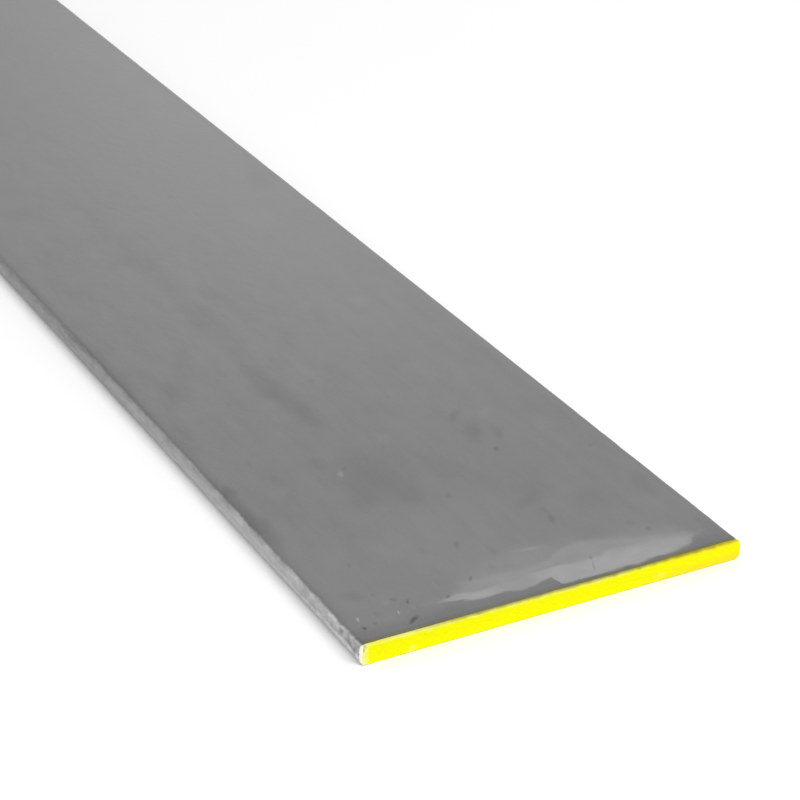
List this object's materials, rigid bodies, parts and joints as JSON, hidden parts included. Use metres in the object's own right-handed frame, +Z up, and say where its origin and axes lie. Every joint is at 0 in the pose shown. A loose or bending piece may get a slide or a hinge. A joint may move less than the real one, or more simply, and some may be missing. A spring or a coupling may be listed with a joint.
{
  "type": "metal flat bar",
  "caption": "Hot-rolled steel flat bar, cut to length, with crowned long edges, rounded long corners and sheared ends, one end colour-marked.",
  "frame": {"origin": "middle of the underside, halfway along the bar and halfway across it", "axes": "+X along the bar towards the colour-marked end, +Y across its width, +Z up through its thickness"},
  "size_m": [0.6096, 0.0888, 0.0048],
  "materials": {
    "mill_steel": "matte grey hot-rolled surface, faintly clouded along the bar, lighter and streaked on the rolled long edges",
    "mark_paint": "flat bright yellow marking paint, one thin coat on the +X end face"
  },
  "bodies": {
    "root": {"flat_bar": "mill_steel"}
  },
  "joints": []
}
